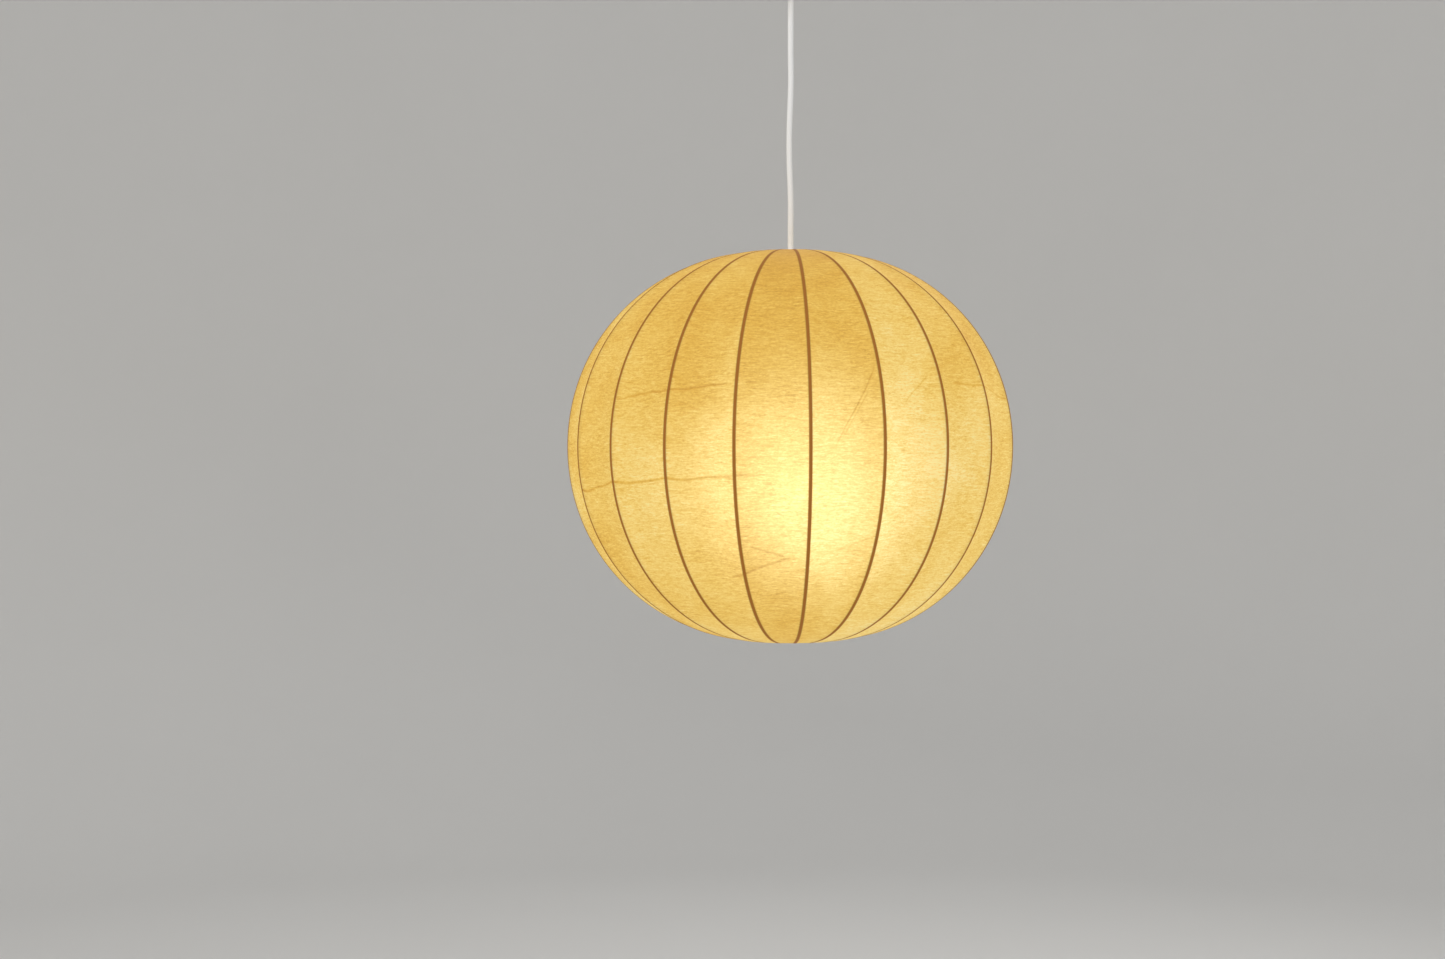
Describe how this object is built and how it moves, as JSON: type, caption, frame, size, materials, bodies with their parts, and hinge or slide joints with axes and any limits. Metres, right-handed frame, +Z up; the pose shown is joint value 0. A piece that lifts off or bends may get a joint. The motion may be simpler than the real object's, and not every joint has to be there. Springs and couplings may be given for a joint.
{
  "type": "hanging lantern",
  "caption": "Round ribbed lantern with a thin translucent skin, hung on a white cord from a ceiling plate and canopy, with its lampholder and screw-in bulb inside.",
  "frame": {"origin": "centre of the ceiling plate's top face, where it meets the ceiling", "axes": "+Z up into the ceiling, X along the line of the plate's two slots, -Y the front"},
  "size_m": [0.4814, 0.4814, 0.7438],
  "materials": {
    "film": "thin sprayed film with a fibrous web, translucent cream, satin, lit from inside",
    "frame_wire": "drawn steel wire, lacquered warm grey",
    "zinc_sheet": "bright zinc-plated sheet",
    "zinc_screws": "bright zinc-plated",
    "zinc_tube": "zinc-plated threaded tube",
    "block_plastic": "moulded, slightly translucent",
    "brass": "bright drawn brass",
    "live_core": "smooth brown insulation",
    "neutral_core": "smooth blue insulation",
    "cord_sheath": "white extruded sheath, satin",
    "canopy_plastic": "white moulded, low gloss",
    "fitting_plastic": "white moulded",
    "seal_rubber": "matt",
    "holder_plastic": "white moulded heat-resisting plastic",
    "holder_ceramic": "white steatite, part glazed",
    "solder": "dull solder",
    "black_glass": "opaque black glass",
    "bulb_metal": "bright rolled sheet",
    "bulb_glass": "frosted inside, lit",
    "clear_glass": "clear",
    "filament_wire": "fine drawn wire"
  },
  "bodies": {
    "ceiling_fitting": {"ceiling_plate": "zinc_sheet", "cord_tab": "zinc_sheet", "cord_clamp": "zinc_sheet", "cord_clamp_screws": "zinc_screws", "terminal_block": "block_plastic", "terminal_sleeves": "brass", "terminal_screws": "zinc_screws", "terminal_block_screw": "zinc_screws", "live_core_upper": "live_core", "neutral_core_upper": "neutral_core", "cord_top": "cord_sheath"},
    "canopy": {"canopy": "canopy_plastic", "canopy_collar": "fitting_plastic", "canopy_collar_screw": "zinc_screws"},
    "pendant": {"cord": "cord_sheath", "gland_nut": "fitting_plastic", "gland_seal": "seal_rubber", "gland_body": "fitting_plastic", "stem": "zinc_tube", "stem_lock_nuts": "zinc_screws", "hanger": "zinc_sheet", "holder_cap": "holder_plastic", "holder_shell": "holder_plastic", "holder_insert": "holder_ceramic", "holder_socket": "brass", "holder_centre_contact": "brass", "holder_terminals": "brass", "holder_terminal_screws": "zinc_screws", "live_core_lower": "live_core", "neutral_core_lower": "neutral_core"},
    "shade": {"skin": "film", "top_ring": "frame_wire", "bottom_ring": "frame_wire", "rib_01": "frame_wire", "rib_02": "frame_wire", "rib_03": "frame_wire", "rib_04": "frame_wire", "rib_05": "frame_wire", "rib_06": "frame_wire", "rib_07": "frame_wire", "rib_08": "frame_wire", "rib_09": "frame_wire", "rib_10": "frame_wire", "rib_11": "frame_wire", "rib_12": "frame_wire", "rib_13": "frame_wire", "rib_14": "frame_wire", "rib_15": "frame_wire", "rib_16": "frame_wire", "rib_17": "frame_wire", "rib_18": "frame_wire", "rib_19": "frame_wire", "rib_20": "frame_wire"},
    "bulb_contact": {"bulb_tip": "solder"},
    "bulb": {"bulb_insulator": "black_glass", "bulb_cap": "bulb_metal", "bulb_glass": "bulb_glass", "bulb_filament_mount": "clear_glass", "bulb_filament": "filament_wire"}
  },
  "joints": [
    {"name": "canopy_drop", "type": "slide", "parent": "ceiling_fitting", "child": "canopy", "axis": [0, 0, -1], "range_m": [0, 0.06]},
    {"name": "pendant_swing", "type": "hinge", "parent": "ceiling_fitting", "child": "pendant", "pos_m": [0, 0, -0.116], "axis": [0, 1, 0], "range_deg": [-12, 12]},
    {"name": "shade_turn", "type": "hinge", "parent": "pendant", "child": "shade", "pos_m": [0, 0, -0.535], "axis": [0, 0, 1], "continuous": true},
    {"name": "bulb_travel", "type": "slide", "parent": "pendant", "child": "bulb_contact", "axis": [0, 0, -1], "range_m": [0, 0.0201]},
    {"name": "bulb_unscrew", "type": "hinge", "parent": "bulb_contact", "child": "bulb", "pos_m": [0, 0, -0.535], "axis": [0, 0, -1], "range_deg": [0, 1980]}
  ],
  "couplings": [
    {"joint": "bulb_travel", "follows": "bulb_unscrew", "m_per_rad": 0.0005775}
  ]
}
